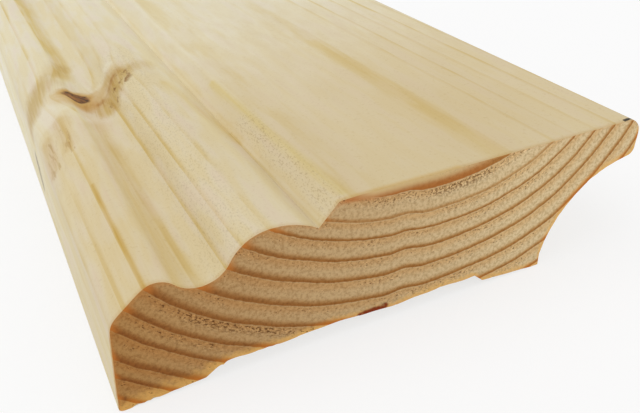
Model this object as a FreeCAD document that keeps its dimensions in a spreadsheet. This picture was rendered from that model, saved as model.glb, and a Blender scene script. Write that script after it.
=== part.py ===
import FreeCAD, Part
import os
from collections import namedtuple
from math import asin, atan2, cos, radians, sin, sqrt, tan

import Sketcher

# A length of moulded softwood skirting board, one solid piece of planed pine.
# It lies on its back: X runs across the width, Y along the length, Z up through the thickness.
# The thin moulded edge is at -X and the nose with the cove under it is at +X.
# The origin is at floor height under the middle of the board.

# Driving sizes in millimetres, angles in degrees.
# An inset is measured in from the nearer long edge, a depth is measured down from the face.
SIZES = {
    "board_width": 95.0,
    "board_thickness": 25.0,
    "board_length": 2400.0,
    "foot_round_radius": 0.8,
    "shoulder_inset": 4.7,
    "shoulder_depth": 11.1,
    "shoulder_radius": 3.7,
    "bead_inset": 7.9,
    "bead_depth": 4.7,
    "bead_radius": 3.4,
    "valley_inset": 14.2,
    "valley_depth": 7.5,
    "roll_inset": 25.1,
    "roll_depth": 1.35,
    "roll_far_radius": 12.8,
    "quirk_depth": 3.6,
    "quirk_slope": 46.0,
    "crest_radius": 1.3,
    "nose_radius": 3.1,
    "arris_inset": 1.7,
    "arris_depth": 5.8,
    "arris_radius": 1.5,
    "cove_radius": 20.5,
    "cove_reach": 19.0,
    "cove_foot_height": 2.4,
    "thin_land": 1.8,
    "thin_foot_width": 13.2,
    "thin_foot_rise": 0.8,
    "thin_side_run": 2.5,
    "hollow_depth": 2.4,
    "nose_land": 1.5,
    "nose_foot_width": 12.3,
    "nose_foot_rise": 0.8,
    "nose_side_run": 1.8,
    "cutter_margin": 1.0,
}

# One edge of a sketch outline, with the numbers of its first and last end on the way round.
Edge = namedtuple("Edge", "index first last")
CENTRE = 3
ORIGIN = (-1, 1)


def point(across, up):
    return FreeCAD.Vector(across, up, 0)


def make_sheet(doc):
    """The table of driving sizes, one named cell each."""
    sheet = doc.addObject("Spreadsheet::Sheet", "sizes")
    for row, (name, value) in enumerate(SIZES.items(), start=1):
        sheet.set(f"A{row}", name)
        sheet.set(f"B{row}", str(value))
        sheet.setAlias(f"B{row}", name)
    doc.recompute()
    return sheet


def new_sketch(body, name):
    """An empty sketch on the upright plane across the board."""
    plane = next(item for item in body.Origin.OriginFeatures if item.Role == "XZ_Plane")
    sketch = body.newObject("Sketcher::SketchObject", name)
    sketch.AttachmentSupport = [(plane, "")]
    sketch.MapMode = "FlatFace"
    return sketch


def add_line(sketch, start, end, construction=False):
    index = sketch.addGeometry(Part.LineSegment(start, end), construction)
    return Edge(index, 1, 2)


def add_arc(sketch, centre, start, end, clockwise=True):
    """An arc walked from start to end, clockwise where the wood is convex."""
    first_angle = atan2(start.y - centre.y, start.x - centre.x)
    last_angle = atan2(end.y - centre.y, end.x - centre.x)
    circle = Part.Circle(centre, FreeCAD.Vector(0, 0, 1), (start - centre).Length)
    if clockwise:
        index = sketch.addGeometry(Part.ArcOfCircle(circle, last_angle, first_angle), False)
        return Edge(index, 2, 1)
    index = sketch.addGeometry(Part.ArcOfCircle(circle, first_angle, last_angle), False)
    return Edge(index, 1, 2)


def join(sketch, kind, before, after):
    sketch.addConstraint(Sketcher.Constraint(kind, before.index, before.last, after.index, after.first))


def bind(sketch, name, constraint, formula):
    """Adds a named dimension whose value follows the table of sizes."""
    index = sketch.addConstraint(constraint)
    sketch.renameConstraint(index, name)
    sketch.setExpression(f"Constraints.{name}", formula)


def dimension(sketch, kind, start, end, cell, name=None):
    """A level or upright distance from one point to another, equal to one cell."""
    constraint = Sketcher.Constraint(kind, *start, *end, SIZES[cell])
    bind(sketch, name or cell, constraint, f"sizes.{cell}")


def radius(sketch, arc, cell):
    bind(sketch, cell, Sketcher.Constraint("Radius", arc.index, SIZES[cell]), f"sizes.{cell}")


def common_tangent(centre_one, radius_one, centre_two, radius_two):
    """Where a straight edge leaves one convex round and reaches the next, walking clockwise."""
    apart = centre_two - centre_one
    heading = atan2(apart.y, apart.x) - asin((radius_one - radius_two) / apart.Length)
    outward = point(-sin(heading), cos(heading))
    return centre_one + outward * radius_one, centre_two + outward * radius_two


def between(centre_one, centre_two, distance):
    """The point that lies this far along the line from one centre to the other."""
    return centre_one + (centre_two - centre_one).normalize() * distance


def swing_radius(run, fall, known_radius):
    """Two arcs that swing from a crown to a floor have radii that add up to one sum.

    The sum is (run squared + fall squared) / (2 fall), so one radius gives the other.
    """
    return (run ** 2 + fall ** 2) / (2 * fall) - known_radius


def add_blank(sketch):
    """The planed blank that the section is cut from, as construction lines to measure from."""
    half = SIZES["board_width"] / 2
    top = SIZES["board_thickness"]
    corners = [point(-half, 0), point(-half, top), point(half, top), point(half, 0)]
    sides = [add_line(sketch, corners[n], corners[(n + 1) % 4], True) for n in range(4)]
    left, face, right, back = sides
    for before, after in zip(sides, sides[1:] + sides[:1]):
        join(sketch, "Coincident", before, after)
    sketch.addConstraint(Sketcher.Constraint("Vertical", left.index))
    sketch.addConstraint(Sketcher.Constraint("Vertical", right.index))
    sketch.addConstraint(Sketcher.Constraint("Horizontal", face.index))
    sketch.addConstraint(Sketcher.Constraint("Horizontal", back.index))
    sketch.addConstraint(Sketcher.Constraint("Symmetric", back.index, 1, back.index, 2, *ORIGIN))
    dimension(sketch, "DistanceX", (face.index, 1), (face.index, 2), "board_width")
    dimension(sketch, "DistanceY", (left.index, 1), (left.index, 2), "board_thickness")
    return left, right


def draw_section(sketch):
    """The moulded outline, walked clockwise from the thin edge's foot."""
    size = SIZES
    half = size["board_width"] / 2
    top = size["board_thickness"]
    left, right = add_blank(sketch)
    thin_bottom = (left.index, 1)
    thin_top = (left.index, 2)
    nose_top = (right.index, 1)
    nose_bottom = (right.index, 2)

    # Centres of the rounds along the thin edge and the moulded face
    foot_centre = point(-half + size["foot_round_radius"], size["foot_round_radius"])
    shoulder_centre = point(-half + size["shoulder_inset"], top - size["shoulder_depth"])
    bead_crown = point(-half + size["bead_inset"], top - size["bead_depth"])
    bead_centre = bead_crown - point(0, size["bead_radius"])
    valley_floor = point(-half + size["valley_inset"], top - size["valley_depth"])
    valley_radius = swing_radius(valley_floor.x - bead_crown.x, bead_crown.y - valley_floor.y,
                                 size["bead_radius"])
    valley_centre = valley_floor + point(0, valley_radius)
    roll_crown = point(-half + size["roll_inset"], top - size["roll_depth"])
    roll_radius = swing_radius(roll_crown.x - valley_floor.x, roll_crown.y - valley_floor.y,
                               valley_radius)
    roll_centre = roll_crown - point(0, roll_radius)

    # The roll's far side falls to the quirk, a sharp inner corner, and a slope climbs to the face
    far_centre = roll_crown - point(0, size["roll_far_radius"])
    quirk_up = top - size["quirk_depth"] - far_centre.y
    quirk = far_centre + point(sqrt(size["roll_far_radius"] ** 2 - quirk_up ** 2), quirk_up)
    slope = radians(size["quirk_slope"])
    crest_sharp = quirk + point(size["quirk_depth"] / tan(slope), size["quirk_depth"])
    crest_trim = size["crest_radius"] * tan(slope / 2)
    crest_start = crest_sharp - point(cos(slope), sin(slope)) * crest_trim
    crest_end = crest_sharp + point(crest_trim, 0)
    crest_centre = crest_end - point(0, size["crest_radius"])

    # The nose, its lower arris and the cove that undercuts it
    nose_centre = point(half - size["nose_radius"], top - size["nose_radius"])
    nose_start = nose_centre + point(0, size["nose_radius"])
    arris_centre = point(half - size["arris_inset"], top - size["arris_depth"])
    cove_foot = point(half - size["cove_reach"], size["cove_foot_height"])
    cove_bottom = point(cove_foot.x, 0)
    span = cove_foot - arris_centre
    near = size["cove_radius"] + size["arris_radius"]
    along = (near ** 2 - size["cove_radius"] ** 2 + span.Length ** 2) / (2 * span.Length)
    aside = sqrt(near ** 2 - along ** 2)
    span.normalize()
    cove_centre = arris_centre + span * along + point(-span.y, span.x) * aside

    # Where each edge meets the next
    lean_start, lean_end = common_tangent(foot_centre, size["foot_round_radius"],
                                          shoulder_centre, size["shoulder_radius"])
    ramp_start, ramp_end = common_tangent(shoulder_centre, size["shoulder_radius"],
                                          bead_centre, size["bead_radius"])
    bead_end = between(bead_centre, valley_centre, size["bead_radius"])
    valley_end = between(roll_centre, valley_centre, roll_radius)
    nose_end, arris_start = common_tangent(nose_centre, size["nose_radius"],
                                           arris_centre, size["arris_radius"])
    arris_end = between(arris_centre, cove_centre, size["arris_radius"])
    foot_start = foot_centre - point(0, size["foot_round_radius"])

    # The edges in order
    foot = add_arc(sketch, foot_centre, foot_start, lean_start)
    lean = add_line(sketch, lean_start, lean_end)
    shoulder = add_arc(sketch, shoulder_centre, lean_end, ramp_start)
    ramp = add_line(sketch, ramp_start, ramp_end)
    bead = add_arc(sketch, bead_centre, ramp_end, bead_end)
    valley = add_arc(sketch, valley_centre, bead_end, valley_end, clockwise=False)
    roll = add_arc(sketch, roll_centre, valley_end, roll_crown)
    far = add_arc(sketch, far_centre, roll_crown, quirk)
    climb = add_line(sketch, quirk, crest_start)
    crest = add_arc(sketch, crest_centre, crest_start, crest_end)
    front = add_line(sketch, crest_end, nose_start)
    nose = add_arc(sketch, nose_centre, nose_start, nose_end)
    nose_side = add_line(sketch, nose_end, arris_start)
    arris = add_arc(sketch, arris_centre, arris_start, arris_end)
    cove = add_arc(sketch, cove_centre, arris_end, cove_foot, clockwise=False)
    cove_side = add_line(sketch, cove_foot, cove_bottom)
    bottom = add_line(sketch, cove_bottom, foot_start)

    # Smooth joins, then the four corners that stay sharp or only meet at a crown
    for before, after in ((bottom, foot), (foot, lean), (lean, shoulder), (shoulder, ramp), (ramp, bead),
                          (bead, valley), (valley, roll), (climb, crest), (crest, front), (front, nose),
                          (nose, nose_side), (nose_side, arris), (arris, cove)):
        join(sketch, "Tangent", before, after)
    for before, after in ((roll, far), (far, climb), (cove, cove_side), (cove_side, bottom)):
        join(sketch, "Coincident", before, after)
    sketch.addConstraint(Sketcher.Constraint("Horizontal", bottom.index))
    sketch.addConstraint(Sketcher.Constraint("Horizontal", front.index))
    sketch.addConstraint(Sketcher.Constraint("Vertical", cove_side.index))

    # Rounds placed by their centres
    dimension(sketch, "DistanceX", thin_bottom, (foot.index, CENTRE), "foot_round_radius", "foot_inset")
    dimension(sketch, "DistanceY", thin_bottom, (foot.index, CENTRE), "foot_round_radius", "foot_height")
    dimension(sketch, "DistanceX", thin_top, (shoulder.index, CENTRE), "shoulder_inset")
    dimension(sketch, "DistanceY", (shoulder.index, CENTRE), thin_top, "shoulder_depth")
    dimension(sketch, "DistanceX", (nose.index, CENTRE), nose_top, "nose_radius", "nose_inset")
    dimension(sketch, "DistanceY", (nose.index, CENTRE), nose_top, "nose_radius", "nose_depth")
    dimension(sketch, "DistanceX", (arris.index, CENTRE), nose_top, "arris_inset")
    dimension(sketch, "DistanceY", (arris.index, CENTRE), nose_top, "arris_depth")

    # Bead and valley placed by their highest and lowest points, the roll by its crown
    for arc, extreme, name in ((bead, bead_crown, "bead"), (valley, valley_floor, "valley")):
        mark = sketch.addGeometry(Part.Point(extreme), True)
        sketch.addConstraint(Sketcher.Constraint("PointOnObject", mark, 1, arc.index))
        sketch.addConstraint(Sketcher.Constraint("Vertical", mark, 1, arc.index, CENTRE))
        dimension(sketch, "DistanceX", thin_top, (mark, 1), f"{name}_inset")
        dimension(sketch, "DistanceY", (mark, 1), thin_top, f"{name}_depth")
    crown = (roll.index, roll.last)
    for arc in (roll, far):
        sketch.addConstraint(Sketcher.Constraint("Vertical", *crown, arc.index, CENTRE))
    dimension(sketch, "DistanceX", thin_top, crown, "roll_inset")
    dimension(sketch, "DistanceY", crown, thin_top, "roll_depth")

    # Quirk, slope and the cove's foot
    dimension(sketch, "DistanceY", (climb.index, 1), thin_top, "quirk_depth")
    bind(sketch, "quirk_slope", Sketcher.Constraint("Angle", climb.index, slope), "sizes.quirk_slope")
    dimension(sketch, "DistanceX", (cove_side.index, 2), nose_bottom, "cove_reach")
    dimension(sketch, "DistanceY", (cove_side.index, 2), (cove_side.index, 1), "cove_foot_height")

    # Radii that are set, the others follow from the tangents
    for arc, cell in ((foot, "foot_round_radius"), (shoulder, "shoulder_radius"), (bead, "bead_radius"),
                      (far, "roll_far_radius"), (crest, "crest_radius"), (nose, "nose_radius"),
                      (arris, "arris_radius"), (cove, "cove_radius")):
        radius(sketch, arc, cell)


def draw_relief(sketch):
    """What is planed off the back: a wide flat hollow, and feet that slope up towards it."""
    size = SIZES
    half = size["board_width"] / 2
    thin_edge = point(-half, 0)
    nose_edge = point(half - size["cove_reach"], 0)
    back = add_line(sketch, thin_edge, nose_edge, True)

    # Corners of the cut, from the thin foot's land across the hollow to the other land
    corners = [
        thin_edge + point(size["thin_land"], 0),
        thin_edge + point(size["thin_foot_width"], size["thin_foot_rise"]),
        thin_edge + point(size["thin_foot_width"] + size["thin_side_run"], size["hollow_depth"]),
        nose_edge + point(-size["nose_foot_width"] - size["nose_side_run"], size["hollow_depth"]),
        nose_edge + point(-size["nose_foot_width"], size["nose_foot_rise"]),
        nose_edge + point(-size["nose_land"], 0),
        nose_edge + point(-size["nose_land"], -size["cutter_margin"]),
        thin_edge + point(size["thin_land"], -size["cutter_margin"]),
    ]
    count = len(corners)
    sides = [add_line(sketch, corners[n], corners[(n + 1) % count]) for n in range(count)]
    for before, after in zip(sides, sides[1:] + sides[:1]):
        join(sketch, "Coincident", before, after)
    thin_land, thin_foot, thin_hollow, nose_hollow, nose_foot, nose_land, nose_under, thin_under = [
        (side.index, side.first) for side in sides]
    start = (back.index, 1)
    end = (back.index, 2)

    # The stretch of back that the feet stand on
    sketch.addConstraint(Sketcher.Constraint("Horizontal", back.index))
    sketch.addConstraint(Sketcher.Constraint("PointOnObject", *start, ORIGIN[0]))
    bind(sketch, "thin_edge", Sketcher.Constraint("DistanceX", *start, *ORIGIN, half), "sizes.board_width / 2")
    bind(sketch, "nose_edge", Sketcher.Constraint("DistanceX", *ORIGIN, *end, nose_edge.x),
         "sizes.board_width / 2 - sizes.cove_reach")

    # The thin edge's foot
    dimension(sketch, "DistanceX", start, thin_land, "thin_land")
    sketch.addConstraint(Sketcher.Constraint("Horizontal", *start, *thin_land))
    dimension(sketch, "DistanceX", start, thin_foot, "thin_foot_width")
    dimension(sketch, "DistanceY", start, thin_foot, "thin_foot_rise")
    dimension(sketch, "DistanceX", thin_foot, thin_hollow, "thin_side_run")

    # The hollow, level from side to side
    dimension(sketch, "DistanceY", start, thin_hollow, "hollow_depth")
    sketch.addConstraint(Sketcher.Constraint("Horizontal", *thin_hollow, *nose_hollow))

    # The foot beside the cove
    dimension(sketch, "DistanceX", nose_hollow, nose_foot, "nose_side_run")
    dimension(sketch, "DistanceX", nose_foot, end, "nose_foot_width")
    dimension(sketch, "DistanceY", end, nose_foot, "nose_foot_rise")
    dimension(sketch, "DistanceX", nose_land, end, "nose_land")
    sketch.addConstraint(Sketcher.Constraint("Horizontal", *nose_land, *end))

    # The cut runs out below the back
    sketch.addConstraint(Sketcher.Constraint("Vertical", *nose_land, *nose_under))
    sketch.addConstraint(Sketcher.Constraint("Vertical", *thin_land, *thin_under))
    sketch.addConstraint(Sketcher.Constraint("Horizontal", *nose_under, *thin_under))
    dimension(sketch, "DistanceY", thin_under, thin_land, "cutter_margin")


def make_skirting_board(doc):
    """The moulded length, padded from its section, with the back relieved from end to end."""
    body = doc.addObject("PartDesign::Body", "skirting_board")
    body.Label = "skirting_board"

    section = new_sketch(body, "section")
    draw_section(section)
    moulding = body.newObject("PartDesign::Pad", "moulding")
    moulding.Profile = section
    moulding.SideType = "Symmetric"
    moulding.setExpression("Length", "sizes.board_length")
    doc.recompute()
    solid_volume = moulding.Shape.Volume

    relief = new_sketch(body, "relief")
    draw_relief(relief)
    hollow = body.newObject("PartDesign::Pocket", "back_hollow")
    hollow.Profile = relief
    hollow.SideType = "Symmetric"
    hollow.setExpression("Length", "sizes.board_length + 2 * sizes.cutter_margin")
    body.Tip = hollow
    doc.recompute()
    if hollow.Shape.Volume >= solid_volume:
        raise RuntimeError("the back hollow cuts nothing")
    return body


def check(doc, bodies):
    """Stops before anything is written if an object failed or a shape isn't sound."""
    for item in doc.Objects:
        if "Invalid" in item.State or "Error" in item.State:
            raise RuntimeError(f"{item.Name} failed: {item.State}")
        if item.isDerivedFrom("Sketcher::SketchObject") and not item.FullyConstrained:
            raise RuntimeError(f"{item.Name} isn't fully constrained")
    for body in bodies:
        if body.Shape.isNull() or not body.Shape.isValid() or len(body.Shape.Solids) != 1:
            raise RuntimeError(f"{body.Label} isn't one sound solid")


doc = FreeCAD.newDocument("skirting_board_length")
make_sheet(doc)
bodies = [make_skirting_board(doc)]
doc.recompute()
check(doc, bodies)

os.makedirs("parts", exist_ok=True)
for body in bodies:
    body.Shape.exportStep(f"parts/{body.Label}.step")
    box = body.Shape.BoundBox
    print(body.Label, "volume", round(body.Shape.Volume), "box", box)
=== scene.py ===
from math import asin, atan, atan2, cos, pi, radians, sin, sqrt, tan

import bpy
import numpy as np
from mathutils import Matrix


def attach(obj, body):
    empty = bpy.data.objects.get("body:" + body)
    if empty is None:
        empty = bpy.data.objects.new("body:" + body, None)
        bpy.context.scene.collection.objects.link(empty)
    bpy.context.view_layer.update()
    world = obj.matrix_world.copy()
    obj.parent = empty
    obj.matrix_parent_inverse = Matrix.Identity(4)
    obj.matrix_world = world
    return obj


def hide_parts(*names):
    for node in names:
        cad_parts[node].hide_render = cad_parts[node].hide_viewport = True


# A length of moulded pine skirting board, lying on its back.
# X runs across the width, Y along the length, Z up. Blender works in metres,
# the dictionaries below are in millimetres and degrees unless a note says otherwise.
# A fade in them is two values and what it gives at each: 0 and 1, unless those follow.
# A noise in them is its scale, octaves and roughness. A streak is its two ends, its width, and
# the share of the width that it is full over; it is gone at the width.

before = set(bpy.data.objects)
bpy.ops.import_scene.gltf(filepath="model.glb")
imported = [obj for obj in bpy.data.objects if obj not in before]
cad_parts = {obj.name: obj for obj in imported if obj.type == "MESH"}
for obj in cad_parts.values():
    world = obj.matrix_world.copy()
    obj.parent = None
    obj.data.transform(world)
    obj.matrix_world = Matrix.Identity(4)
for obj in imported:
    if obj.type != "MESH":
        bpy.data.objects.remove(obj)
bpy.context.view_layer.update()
print("frame loaded")

mm = 0.001
plainWhite = (1.0, 1.0, 1.0, 1.0)


def addObject(name, data):
    made = bpy.data.objects.new(name, data)
    bpy.context.scene.collection.objects.link(made)
    return made


# The same section as the CAD. An inset is measured in from the nearer long edge,
# a depth is measured down from the face.
section = {
    "width": 95.0,
    "thickness": 25.0,
    "length": 2400.0,
    "footRadius": 0.8,
    "shoulder": {"inset": 4.7, "depth": 11.1, "radius": 3.7},
    "bead": {"inset": 7.9, "depth": 4.7, "radius": 3.4},
    "valley": {"inset": 14.2, "depth": 7.5},
    "roll": {"inset": 25.1, "depth": 1.35, "farRadius": 12.8},
    "quirk": {"depth": 3.6, "slope": 46.0},
    "crestRadius": 1.3,
    "noseRadius": 3.1,
    "arris": {"inset": 1.7, "depth": 5.8, "radius": 1.5},
    "cove": {"radius": 20.5, "reach": 19.0, "footHeight": 2.4},
    "thinFoot": {"land": 1.8, "width": 13.2, "rise": 0.8, "run": 2.5},
    "noseFoot": {"land": 1.5, "width": 12.3, "rise": 0.8, "run": 1.8},
    "hollowDepth": 2.4,
    "arcStep": 8.0,        # degrees between points of a round
    "arcLeast": 3,         # and points that it has at least
    "acrossStep": 0.45,    # spacing of the lines that cut the section
    "lean": 0.45,          # how far those lines lean to the thin edge, per mm of height
    "tipGap": 0.04,        # no line lies nearer than this to the first or the last
}


def arc(centre, radius, first, last):
    # Points at centre + radius * (cos, sin) of an angle that runs evenly from first to last
    count = int(abs(last - first) / radians(section["arcStep"])) + section["arcLeast"]
    angle = np.linspace(first, last, count)
    return np.stack([centre[0] + radius * np.cos(angle), centre[1] + radius * np.sin(angle)], axis=1)


def bearing(start, end):
    # Direction from start to end
    return atan2(end[1] - start[1], end[0] - start[0])


def touchAngle(centreOne, radiusOne, centreTwo, radiusTwo):
    # Direction, seen from both centres, in which a straight edge touches two convex rounds
    gap = sqrt((centreTwo[0] - centreOne[0]) ** 2 + (centreTwo[1] - centreOne[1]) ** 2)
    return bearing(centreOne, centreTwo) - asin((radiusOne - radiusTwo) / gap) + pi / 2


def swingRadius(run, fall, known):
    # Two arcs that swing from a crown to a floor have radii that add up to (run^2 + fall^2) / (2 fall)
    return (run ** 2 + fall ** 2) / (2 * fall) - known


def drawSection():
    # The outline as two chains of points, over the top and under the back. Both start at the foot of
    # the thin edge and end on the nose, where a line of the section's lean only just touches the wood.
    half = section["width"] / 2
    top = section["thickness"]
    shoulder, bead, valley, roll = (section[k] for k in ("shoulder", "bead", "valley", "roll"))
    quirk, arris, cove = (section[k] for k in ("quirk", "arris", "cove"))
    touch = atan(section["lean"])

    footRadius = section["footRadius"]
    footCentre = (-half + footRadius, footRadius)
    shoulderCentre = (-half + shoulder["inset"], top - shoulder["depth"])
    beadCentre = (-half + bead["inset"], top - bead["depth"] - bead["radius"])
    beadCrown = top - bead["depth"]
    valleyFloor = top - valley["depth"]
    valleyRadius = swingRadius(valley["inset"] - bead["inset"], beadCrown - valleyFloor, bead["radius"])
    valleyCentre = (-half + valley["inset"], valleyFloor + valleyRadius)
    rollCrown = top - roll["depth"]
    rollRadius = swingRadius(roll["inset"] - valley["inset"], rollCrown - valleyFloor, valleyRadius)
    rollCentre = (-half + roll["inset"], rollCrown - rollRadius)
    farCentre = (-half + roll["inset"], rollCrown - roll["farRadius"])
    quirkRise = top - quirk["depth"] - farCentre[1]
    quirkPoint = (farCentre[0] + sqrt(roll["farRadius"] ** 2 - quirkRise ** 2), top - quirk["depth"])
    slope = radians(quirk["slope"])
    crestRadius = section["crestRadius"]
    crestTrim = crestRadius * tan(slope / 2)
    crestCentre = (quirkPoint[0] + quirk["depth"] / tan(slope) + crestTrim, top - crestRadius)
    noseRadius = section["noseRadius"]
    noseCentre = (half - noseRadius, top - noseRadius)
    arrisCentre = (half - arris["inset"], top - arris["depth"])
    coveFoot = (half - cove["reach"], cove["footHeight"])
    gap = sqrt((coveFoot[0] - arrisCentre[0]) ** 2 + (coveFoot[1] - arrisCentre[1]) ** 2)
    near = cove["radius"] + arris["radius"]
    along = (near ** 2 - cove["radius"] ** 2 + gap ** 2) / (2 * gap)
    aside = sqrt(near ** 2 - along ** 2)
    way = bearing(arrisCentre, coveFoot)
    coveCentre = (arrisCentre[0] + along * cos(way) - aside * sin(way),
                  arrisCentre[1] + along * sin(way) + aside * cos(way))

    leanAngle = touchAngle(footCentre, footRadius, shoulderCentre, shoulder["radius"])
    rampAngle = touchAngle(shoulderCentre, shoulder["radius"], beadCentre, bead["radius"])
    sideAngle = touchAngle(noseCentre, noseRadius, arrisCentre, arris["radius"])
    over = [
        arc(footCentre, footRadius, pi + touch, leanAngle),
        arc(shoulderCentre, shoulder["radius"], leanAngle, rampAngle),
        arc(beadCentre, bead["radius"], rampAngle, bearing(beadCentre, valleyCentre)),
        arc(valleyCentre, valleyRadius, bearing(valleyCentre, beadCentre),
            bearing(valleyCentre, rollCentre)),
        arc(rollCentre, rollRadius, bearing(rollCentre, valleyCentre), pi / 2),
        arc(farCentre, roll["farRadius"], pi / 2, bearing(farCentre, quirkPoint)),
        arc(crestCentre, crestRadius, pi / 2 + slope, pi / 2),
        arc(noseCentre, noseRadius, pi / 2, touch),
    ]

    thin, nose = section["thinFoot"], section["noseFoot"]
    hollow = section["hollowDepth"]
    right = half - cove["reach"]
    back = np.array([
        (-half + thin["land"], 0.0), (-half + thin["width"], thin["rise"]),
        (-half + thin["width"] + thin["run"], hollow), (right - nose["width"] - nose["run"], hollow),
        (right - nose["width"], nose["rise"]), (right - nose["land"], 0.0), (right, 0.0)])
    under = [
        arc(footCentre, footRadius, pi + touch, 1.5 * pi),
        back,
        arc(coveCentre, cove["radius"], bearing(coveCentre, coveFoot), bearing(coveCentre, arrisCentre)),
        arc(arrisCentre, arris["radius"], bearing(arrisCentre, coveCentre), sideAngle),
        arc(noseCentre, noseRadius, sideAngle, touch),
    ]
    return np.concatenate(over), np.concatenate(under)


def cutLines(over, under):
    # Straight lines x + lean * z = constant cut the section, evenly spaced and through every
    # corner, where they fall together to a hundredth of a millimetre.
    # Returns the points where each line enters the back and leaves the top.
    lean = section["lean"]
    lineOver = over @ np.array([1.0, lean])
    lineUnder = under @ np.array([1.0, lean])
    first, last = lineOver[[0, -1]]
    even = np.linspace(first, last, int((last - first) / section["acrossStep"]))
    lines = np.unique(np.round(np.concatenate([even, lineOver, lineUnder]), 2))
    lines = lines[(lines > first + section["tipGap"]) & (lines < last - section["tipGap"])]
    lines = np.concatenate([[first], lines, [last]])
    top = np.stack([np.interp(lines, lineOver, over[:, n]) for n in (0, 1)], axis=1)
    bottom = np.stack([np.interp(lines, lineUnder, under[:, n]) for n in (0, 1)], axis=1)
    return top, bottom


# Growth rings, the same formula in numbers and in the shader. A share is of a year's width.
rings = {
    "pith": (6.2, 64.4),           # middle of the tree at the near end, across and up
    "stretchLeft": 1.03,           # years are narrower towards the thin edge by this
    "stretchRight": 1.21,          # and towards the nose by this
    "squareness": 2.27,            # 2 is round, more is squarer
    "kinkHeight": 0.45,            # a small upward kink that every year has below the pith
    "kinkWidth": 2.2,
    # distance from the pith at which each year ends
    "yearEnds": (34.5, 38.2, 41.9, 46.0, 49.0, 52.5, 56.1, 60.1, 63.7, 67.4, 70.5, 74.2, 76.6, 79.6, 83.0),
    "sweepAcross": 5.7,            # the tree wasn't straight: the pith wanders across and up the board
    "sweepLength": 1800.0,
    "sweepUp": 5.0,
    "sweepUpLength": 2100.0,
    # the years are uneven: by how much, and how broad and long that is
    "uneven": [(0.5, 14.0, 160.0), (0.16, 1.1, 30.0)],
    "unevenNoise": (1.0, 2.0, 0.55),
    "turn": 60.0,                  # mm that stand for a radian round the pith
    "hardFrom": 0.66,              # share at which the hard line starts
    "hardFromLeft": 0.58,          # towards the thin edge
    "hardAcross": (-40.0, -8.0),   # where the one becomes the other
    "hardLuck": 0.12,              # a year's line starts up to this much sooner
    "hardFull": 0.91,              # share at which it is darkest
    "hardPower": 1.25,
    "hardEnd": (0.94, 1.0, 1.0, 0.0),
    "lateWood": (0.30, 0.90, 0.0, 0.10),     # a faint tone before it
    "softStart": (0.0, 0.05),      # the soft wood that can tear
    "softEnd": (0.18, 0.60, 1.0, 0.0),
    "wideYear": 1,                 # this year has much more hard wood
    "wideFrom": 0.15,
    "thinYear": 2,                 # and this one less
    "thinBy": 0.15,
    "thinShare": 0.80,             # its hard line is also paler
}

# Branches that the board was cut through. Each starts at the pith, so far along the board, and
# runs out at an angle from straight down, towards the nose if positive. All lean to the near
# end, as branches lean to the top of a tree.
branchLean = 20.6
branches = [
    # along, angle, radius per mm of length, pull on the rings, its reach, length, how dead
    (-1100.6, -42.6, 0.045, 4.5, 5.5, 72.0, 1.0),
    (-690.0, 14.0, 0.085, 5.0, 9.0, 200.0, 0.1),
    (-655.0, -30.0, 0.055, 4.0, 7.0, 200.0, 0.6),
    (-190.0, 31.0, 0.075, 5.0, 8.0, 200.0, 0.0),
    (265.0, -36.0, 0.090, 5.0, 9.0, 200.0, 0.2),
    (300.0, 4.0, 0.050, 4.0, 6.0, 200.0, 0.9),
    (780.0, 20.0, 0.080, 5.0, 8.0, 200.0, 0.1),
]

# Where the saw tore the soft wood that follows a year's hard line, across the sawn end
torn = [
    # year, from, to, how much
    (8, -38.0, -19.0, 1.0),
    (2, -8.0, 4.0, 0.8),
    (2, 3.0, 17.0, 1.15),
    (9, -41.0, -31.0, 0.7),
    (6, -30.0, -24.0, 0.5),
    (4, 13.0, 26.0, 0.5),
    (6, -3.0, 8.0, 0.35),
    (7, 10.0, 26.0, 0.3),
]


def yearsAt(x, y, z):
    # Distance from the pith is (|across|^n + |down|^n)^(1/n), and yearEnds turn it into years.
    # The pith wanders along the board by a sine across and a squared sine upwards.
    fromEnd = y + section["length"] / 2
    pithAcross = rings["pith"][0] - rings["sweepAcross"] * np.sin(2 * pi * fromEnd / rings["sweepLength"])
    pithUp = rings["pith"][1] + rings["sweepUp"] * np.sin(2 * pi * fromEnd / rings["sweepUpLength"]) ** 2
    across = x - pithAcross
    down = pithUp - z + rings["kinkHeight"] * np.exp(-(x / rings["kinkWidth"]) ** 2)
    across = across * np.where(across < 0, rings["stretchLeft"], rings["stretchRight"])
    power = rings["squareness"]
    radius = (np.abs(across) ** power + np.abs(down) ** power) ** (1 / power)
    return np.interp(radius, rings["yearEnds"], np.arange(len(rings["yearEnds"])))


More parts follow.
